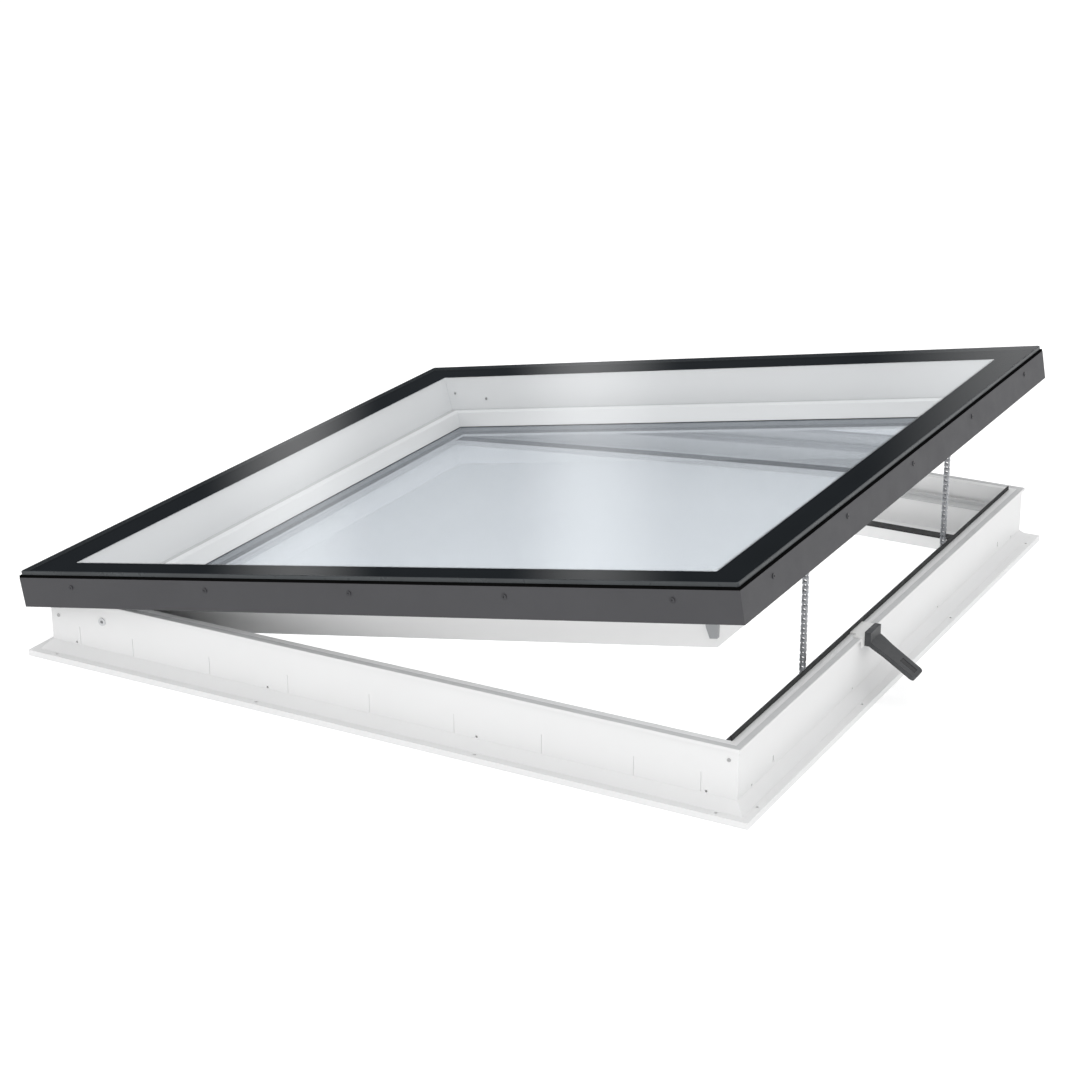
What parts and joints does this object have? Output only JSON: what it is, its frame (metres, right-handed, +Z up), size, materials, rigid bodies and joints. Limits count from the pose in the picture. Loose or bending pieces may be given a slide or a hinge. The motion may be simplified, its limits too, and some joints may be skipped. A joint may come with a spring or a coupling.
{
  "type": "roof skylight",
  "caption": "Flat-roof skylight: a white insulated kerb with a hinged, double-glazed leaf under flat cover glass, opened by push chains, with a rain sensor.",
  "frame": {"origin": "centre of the kerb's underside, in the plane where the kerb rests on the roof", "axes": "+Z up, +X along the hinge, +Y from the opening side with the chains and the rain sensor to the hinge side"},
  "size_m": [1.5106, 1.5793, 0.4291],
  "materials": {
    "white_pvc": "satin",
    "foam_core": "matte",
    "grey_skirt": "satin",
    "grey_seal": "matte",
    "black_seal": "matte",
    "plated_screw": "satin",
    "dark_screw": "satin",
    "grommet_white": "matte",
    "actuator_metal": "satin",
    "motor_grey": "matte",
    "chain_steel": "satin",
    "hinge_steel": "satin",
    "sensor_white": "satin",
    "sensor_dark": "matte",
    "sensor_pad_black": "gloss",
    "clear_glass": "gloss",
    "coated_glass": "gloss",
    "spacer_grey": "matte",
    "guide_grey": "matte"
  },
  "bodies": {
    "kerb": {"kerb_front": "white_pvc", "kerb_back": "white_pvc", "kerb_left": "white_pvc", "kerb_right": "white_pvc", "insulation_front": "foam_core", "insulation_back": "foam_core", "insulation_left": "foam_core", "insulation_right": "foam_core", "kerb_corner_screws": "plated_screw", "rim_seal_strip": "grey_seal", "upper_kerb_seal": "grey_seal", "lower_kerb_seal": "black_seal", "cable_grommet": "grommet_white", "left_actuator_housing": "actuator_metal", "right_actuator_housing": "actuator_metal", "left_gear_motor": "motor_grey", "right_gear_motor": "motor_grey", "left_chain": "chain_steel", "right_chain": "chain_steel", "control_unit": "motor_grey", "left_hinge_kerb_leaf": "hinge_steel", "right_hinge_kerb_leaf": "hinge_steel", "hinge_pins": "chain_steel", "hinge_screws": "plated_screw", "sensor_bracket": "sensor_white", "sensor_housing": "sensor_dark", "sensor_pad": "sensor_pad_black", "sensor_screws": "plated_screw"},
    "leaf": {"left_hinge_sash_leaf": "hinge_steel", "right_hinge_sash_leaf": "hinge_steel", "sash_front": "white_pvc", "sash_back": "white_pvc", "sash_left": "white_pvc", "sash_right": "white_pvc", "bead_front": "white_pvc", "bead_back": "white_pvc", "bead_left": "white_pvc", "bead_right": "white_pvc", "upper_pane": "coated_glass", "pane_spacer": "spacer_grey", "lower_pane": "coated_glass", "upper_glazing_gasket": "black_seal", "lower_glazing_gasket": "black_seal", "cover_frame_front": "white_pvc", "cover_frame_back": "white_pvc", "cover_frame_left": "white_pvc", "cover_frame_right": "white_pvc", "skirt_front": "grey_skirt", "skirt_back": "grey_skirt", "skirt_left": "grey_skirt", "skirt_right": "grey_skirt", "cover_glass": "clear_glass", "cover_glass_seal": "black_seal", "lining_foot_strip": "grey_seal", "skirt_screws": "dark_screw", "lining_screws": "plated_screw", "chain_brackets": "hinge_steel", "guide_blocks": "guide_grey"},
    "left_sprocket": {"left_sprocket": "chain_steel"},
    "right_sprocket": {"right_sprocket": "chain_steel"}
  },
  "joints": [
    {"name": "leaf_hinge", "type": "hinge", "parent": "kerb", "child": "leaf", "pos_m": [0, 0.692, 0.1487], "axis": [-1, 0, 0], "range_deg": [-9.85, 0], "deforming": ["left_chain", "right_chain"]},
    {"name": "left_sprocket_turn", "type": "hinge", "parent": "kerb", "child": "left_sprocket", "pos_m": [-0.3421, -0.674, 0.052], "axis": [0, 1, 0], "range_deg": [-1300, 1300]},
    {"name": "right_sprocket_turn", "type": "hinge", "parent": "kerb", "child": "right_sprocket", "pos_m": [0.3421, -0.674, 0.052], "axis": [0, -1, 0], "range_deg": [-1300, 1300]}
  ],
  "couplings": [
    {"joint": "left_sprocket_turn", "follows": "leaf_hinge", "ratio": 118.44},
    {"joint": "right_sprocket_turn", "follows": "leaf_hinge", "ratio": 118.44}
  ]
}
